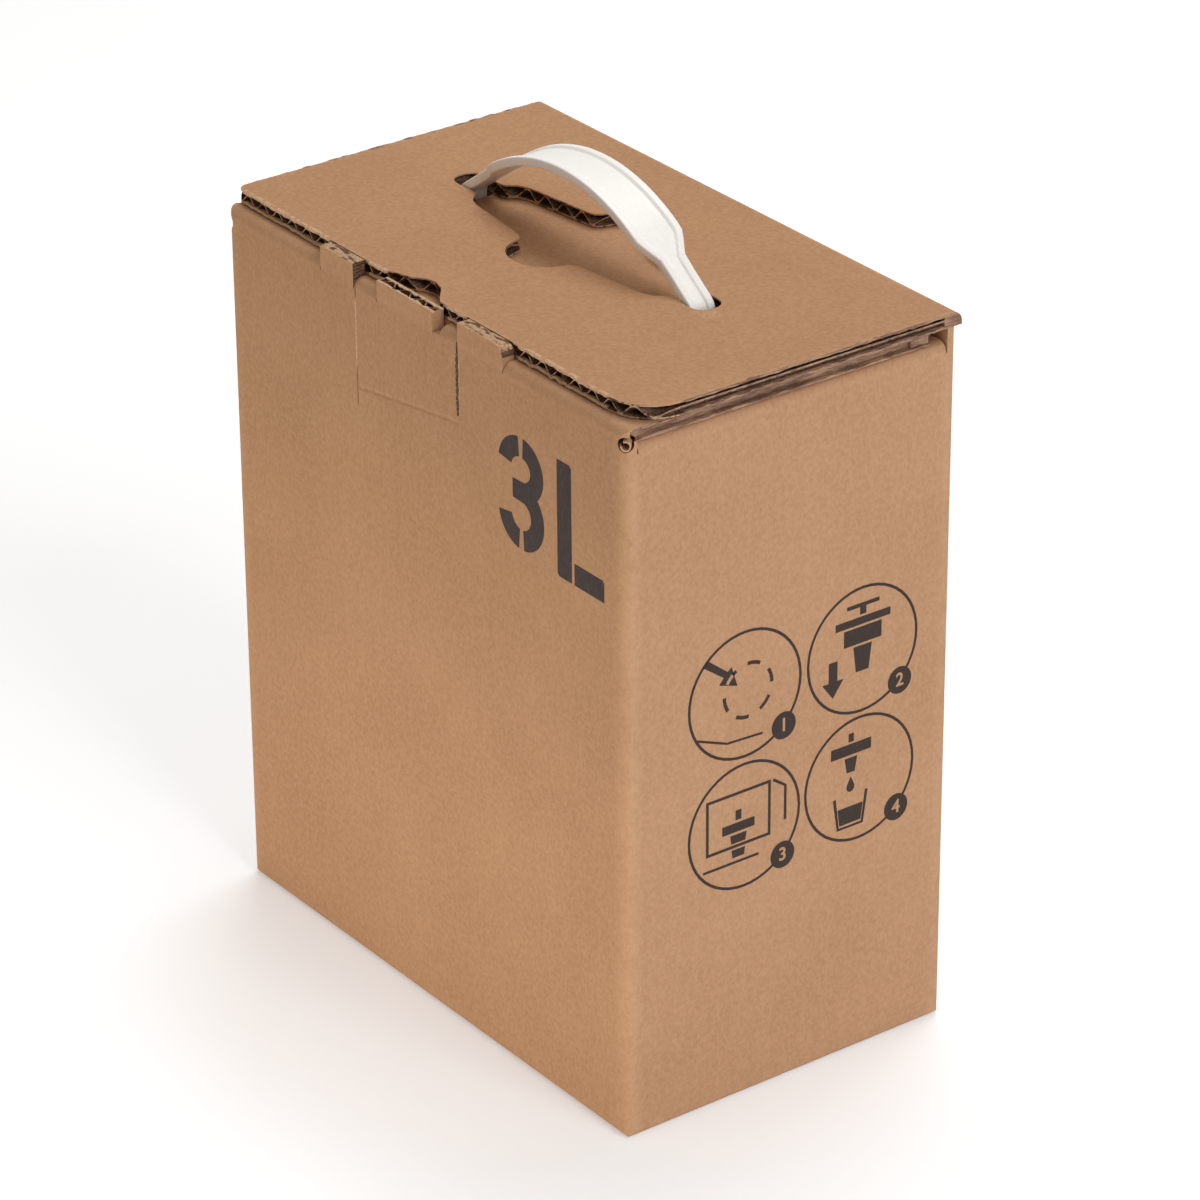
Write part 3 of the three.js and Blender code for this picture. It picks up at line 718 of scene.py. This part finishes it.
def arc(cx, cy, rx, ry, fromAngle, toAngle, steps=20):
    return [(cx + rx * math.cos(math.radians(fromAngle + (toAngle - fromAngle) * i / steps)),
             cy + ry * math.sin(math.radians(fromAngle + (toAngle - fromAngle) * i / steps)))
            for i in range(steps + 1)]


def stroke(points, width):
    # outline of a line of even width through the points
    left, right = [], []
    for i, (x, y) in enumerate(points):
        before, after = points[max(i - 1, 0)], points[min(i + 1, len(points) - 1)]
        dx, dy = after[0] - before[0], after[1] - before[1]
        size = math.hypot(dx, dy)
        nx, ny = -dy / size * width / 2, dx / size * width / 2
        left.append((x + nx, y + ny))
        right.append((x - nx, y - ny))
    return left + right[::-1]


def ring(cx, cy, radius, width):
    return [arc(cx, cy, radius + width / 2, radius + width / 2, 0, 352.5, 47),
            arc(cx, cy, radius - width / 2, radius - width / 2, 0, 352.5, 47)]


def flatFilm(name, outlines, wall, at, material, lift=0.0):
    curve = bpy.data.curves.new(name, "CURVE")
    curve.dimensions = "2D"
    curve.fill_mode = "BOTH"
    curve.extrude = film["half"]
    for outline in outlines:
        line = curve.splines.new("POLY")
        line.points.add(len(outline) - 1)
        for point, (u, v) in zip(line.points, outline):
            point.co = (u * mm, v * mm, 0, 1)
        line.use_cyclic_u = True
    piece = bpy.data.objects.new(name, curve)
    scene.collection.objects.link(piece)
    return layFilm(piece, wall, at, material, lift)


def layFilm(piece, wall, at, material, lift):
    only(piece)
    bpy.ops.object.convert(target="MESH")
    piece = bpy.context.active_object
    off = film["lift"] + lift * mm
    piece.rotation_euler = wallTurn[wall]
    u, v = at
    piece.location = (u * mm, -55.5 * mm - off, v * mm) if wall == "front" else (92.5 * mm + off, u * mm, v * mm)
    return settle(piece, "carton", "kraft_board", material, smooth=0)


def numberFilm(name, text, size, wall, at, material, lift):
    only()
    bpy.ops.object.text_add()
    piece = bpy.context.active_object
    piece.name = name
    piece.data.body = text
    piece.data.size = size * mm
    piece.data.align_x = "CENTER"
    piece.data.align_y = "CENTER"
    piece.data.extrude = film["half"]
    piece.data.offset = 0.02 * size * mm
    return layFilm(piece, wall, at, material, lift)


markShift = (0.95, 0.25)
markThree = [
    [*arc(46, 185.6, 10, 9.4, 172, 97, 10), *arc(46, 185.6, 4.2, 3.6, 100, 172, 10)],
    [*arc(46, 185.6, 10, 9.4, 84, -45, 16), *arc(46, 172.1, 10.2, 10.1, 44, -84, 16),
     *arc(46, 172.1, 4.3, 4.2, -80, 72, 14), (42.2, 176.4), (42.2, 182), *arc(46, 185.6, 4.2, 3.6, -72, 80, 14)],
    [*arc(46, 172.1, 10.2, 10.1, -97, -172, 10), *arc(46, 172.1, 4.3, 4.2, -172, -100, 10)],
]
markLitre = [
    [(62.8, 161), (68.3, 161), (68.3, 194.2), (67.5, 195), (62, 195), (62, 161.8)],
    [(69.5, 161), (82.5, 161), (82.5, 166.7), (81.8, 167.4), (69.5, 167.4)],
]
# frayed paper along the two slits of the centre tab, and a dark film of painted shade in the right slit: (x, bottom,
# top, half width, waviness, side shift)
slitEdges = [
    ("leftSlitPaper", -29, 186.8, 209, 0.3, 0.14, 0, torn),
    ("rightSlitHollow", 18.5, 191, 210, 0.62, 0.3, 0, rawEdgeAndShade),
    ("rightSlitPaper", 19.25, 192, 209.5, 0.22, 0.16, 0.25, torn),
]
for name, x, low, top, half, wave, shift, material in slitEdges:
    heights = [low + (top - low) * i / 60 for i in range(61)]
    taper = [min(i, 60 - i, 6) / 6 for i in range(61)]
    left = [(x - t * (half + wave * math.sin(5.1 * z) * math.sin(1.7 * z)), z) for z, t in zip(heights, taper)]
    right = [(x + 0.02 + t * (half + wave * math.sin(3.7 * z + shift) * math.cos(2.3 * z)), z)
             for z, t in zip(heights, taper)]
    flatFilm(name, [left + right[::-1]], "front", (0, 0), material)
flatFilm("capacityFigure", markThree, "front", markShift, ink)
flatFilm("capacityLetter", markLitre, "front", markShift, ink)

drop = [(0, 3.2), (0.9, 1.4), *arc(0, -0.4, 1.55, 1.7, 35, -215, 14), (-0.9, 1.4)]


def moved(points, dx, dy, size=1.0):
    return [(x * size + dx, y * size + dy) for x, y in points]


# own plain step drawings: push in the port, draw the tap, set it in its slot, pour
stepDrawings = [
    [*[stroke(arc(1, 1, 8, 8, a, a + 32, 6), 1.1) for a in range(0, 360, 60)],
     [(-14, 12.2), (-7.2, 7.2), (-8.8, 5.4), (-2.6, 3.4), (-4.6, 9.6), (-5.9, 8.6), (-12.4, 13.8)],
     stroke([(-16, -9), (-6, -13), (6, -13.6)], 0.7)],
    [[(-6.5, 2), (6.5, 2), (6.5, 7), (-6.5, 7)], [(-9.5, 7.7), (9.5, 7.7), (9.5, 10), (-9.5, 10)],
     [(-3.2, 1.3), (3.2, 1.3), (2.2, -6.5), (-2.2, -6.5)], [(-1.1, 10.7), (1.1, 10.7), (1.1, 13), (-1.1, 13)],
     [(-11.6, -1), (-8.6, -1), (-8.6, -7), (-6.4, -7), (-10.1, -12), (-13.8, -7), (-11.6, -7)],
     stroke([(-5.6, 13.6), (5.6, 13.6)], 1.2)],
    [[(-13, -6), (9, -6), (9, 11), (-13, 11)], [(-12.1, -5.1), (8.1, -5.1), (8.1, 10.1), (-12.1, 10.1)],
     stroke([(9.8, 10.6), (14, 7.6), (14, -3)], 0.9), [(-7.5, -1.2), (3.5, -1.2), (3.5, 1.6), (-7.5, 1.6)],
     [(-4.8, -2), (0.8, -2), (0.4, -4.6), (-4.4, -4.6)], [(-4.3, -6.6), (0.3, -6.6), (0, -9), (-4, -9)],
     [(-3, 2.4), (-1, 2.4), (-1, 5.4), (-3, 5.4)], stroke([(-14, -10.5), (5, -10.5)], 0.8)],
    [[(-10, 8), (4, 8), (4, 11.4), (-10, 11.4)], [(-5.2, 7.2), (-0.8, 7.2), (-1.6, 2.6), (-4.4, 2.6)],
     [(-3.9, 12), (-2.1, 12), (-2.1, 14.6), (-3.9, 14.6)], moved(drop, -3, -1.6, 0.9),
     stroke([(-8.6, -4.4), (-7.2, -14.2), (1.2, -14.2), (2.6, -4.4)], 1.0),
     [(-7.4, -8), (1.4, -8), (0.7, -13.2), (-6.7, -13.2)]],
]
stepPlaces = [(-15.9, 125.5), (24.2, 126.35), (-15.9, 85.65), (23.8, 86.95)]
stepLook = {"radius": 18.75, "line": 0.85, "disc": 4.1, "discAt": (13.2, -13.7), "figure": 5.6}

for number, (drawing, spot) in enumerate(zip(stepDrawings, stepPlaces), start=1):
    label = "step" + str(number)
    flatFilm(label + "Ring", ring(0, 0, stepLook["radius"], stepLook["line"]), "right", spot, ink)
    flatFilm(label + "Drawing", drawing, "right", spot, ink)
    discAt = (spot[0] + stepLook["discAt"][0], spot[1] + stepLook["discAt"][1])
    disc = arc(0, 0, stepLook["disc"], stepLook["disc"], 0, 352.5, 47)
    flatFilm(label + "Disc", [disc], "right", discAt, ink, 0.035)
    numberFilm(label + "Figure", str(number), stepLook["figure"], "right", discAt, wallPaper, 0.07)
print("print made")


# camera, fitted to the carton's edges; lengths in millimetres, focus in pixels of a 1200 pixel frame
view = {"azimuth": 53.521, "elevation": 27.207, "roll": -0.388, "focus": 5445.8, "distance": 1578.05,
        "right": 3.170, "up": 98.598}
azimuth, elevation, roll = (math.radians(view[k]) for k in ("azimuth", "elevation", "roll"))
back = Vector((math.sin(azimuth) * math.cos(elevation), -math.cos(azimuth) * math.cos(elevation), math.sin(elevation)))
level = Vector((0, 0, 1)).cross(back).normalized()
rise = back.cross(level)
rightAxis = math.cos(roll) * level + math.sin(roll) * rise
upAxis = math.cos(roll) * rise - math.sin(roll) * level
eye = (rightAxis * view["right"] + upAxis * view["up"] + back * view["distance"]) * mm

cameraData = bpy.data.cameras.new("photoView")
cameraData.lens = view["focus"] * 36 / 1200
cameraData.sensor_width = 36
cameraData.clip_start = 0.05
cameraData.clip_end = 40
camera = bpy.data.objects.new("photoView", cameraData)
scene.collection.objects.link(camera)
turn = camera.matrix_world.copy()
for row in range(3):
    for column, axis in enumerate((rightAxis, upAxis, back)):
        turn[row][column] = axis[row]
    turn[row][3] = eye[row]
camera.matrix_world = turn
scene.camera = camera


# floor, world and lamps
lightPlan = {"world": 0.31, "floor": (0.84, 0.86, 0.9, 1), "fill": (1, 0.91, 0.77, 1)}


def paleFloor():
    only()
    bpy.ops.mesh.primitive_plane_add(size=14, location=(0, 0, 0))
    floor = newest("paleFloor")
    material, nodes, shader = startMaterial("paleFloor")
    shader["Base Color"].default_value = lightPlan["floor"]
    shader["Roughness"].default_value = 0.9
    shader["Specular IOR Level"].default_value = 0.1
    rays = nodes.add("ShaderNodeLightPath").outputs
    seen = nodes.math("MAXIMUM", rays["Is Camera Ray"],
                      nodes.math("MAXIMUM", rays["Is Glossy Ray"], rays["Is Transmission Ray"]))
    shader["Emission Color"].default_value = (1, 1, 1, 1)
    nodes.join(nodes.math("MULTIPLY", seen, 0.34), shader["Emission Strength"])
    floor.data.materials.append(material)


def paleWorld():
    world = bpy.data.worlds.new("paleWorld")
    scene.world = world
    world.use_nodes = True
    nodes = Nodes(world.node_tree)
    rays = nodes.add("ShaderNodeLightPath").outputs
    shown = nodes.math("MAXIMUM", rays["Is Camera Ray"],
                       nodes.math("MAXIMUM", rays["Is Glossy Ray"], rays["Is Transmission Ray"]))
    strength = nodes.math("MULTIPLY_ADD", shown, 1 - lightPlan["world"], lightPlan["world"])
    background = world.node_tree.nodes["Background"]
    nodes.join(nodes.blend(shown, lightPlan["fill"], (1, 1, 1, 1)), background.inputs["Color"])
    nodes.join(strength, background.inputs["Strength"])


def softLamp(name, place, aim, size, power, colour=(1, 1, 1)):
    data = bpy.data.lights.new(name, "AREA")
    data.shape = "RECTANGLE"
    data.size, data.size_y = size
    data.energy = power
    data.color = colour
    lamp = bpy.data.objects.new(name, data)
    scene.collection.objects.link(lamp)
    lamp.location = place
    lamp.rotation_euler = (Vector(aim) - Vector(place)).to_track_quat("-Z", "Y").to_euler()


paleFloor()
paleWorld()
# where each lamp stands, what it lights, its size, watts and colour
lamps = {
    "keyLamp": ((1.8, 0.0, 1.6), (0, 0, 0.1), (0.9, 0.9), 16.2, (0.97, 0.985, 1)),
    "frontLamp": ((0.02, -0.3, 0.02), (0, -0.055, 0.0), (0.4, 0.02), 0.43, (1, 0.99, 0.97)),
    "sideLamp": ((0.75, 0.1, 0.04), (0.09, 0, 0.0), (0.6, 0.06), 1.6, (0.9, 0.95, 1)),
    "topLamp": ((-0.4, 0.6, 1.9), (0, 0, 0.2), (1.0, 1.0), 17.2, (0.98, 0.99, 1)),
}
for name, plan in lamps.items():
    softLamp(name, *plan)

scene.view_settings.view_transform = "Standard"

print("stage made")
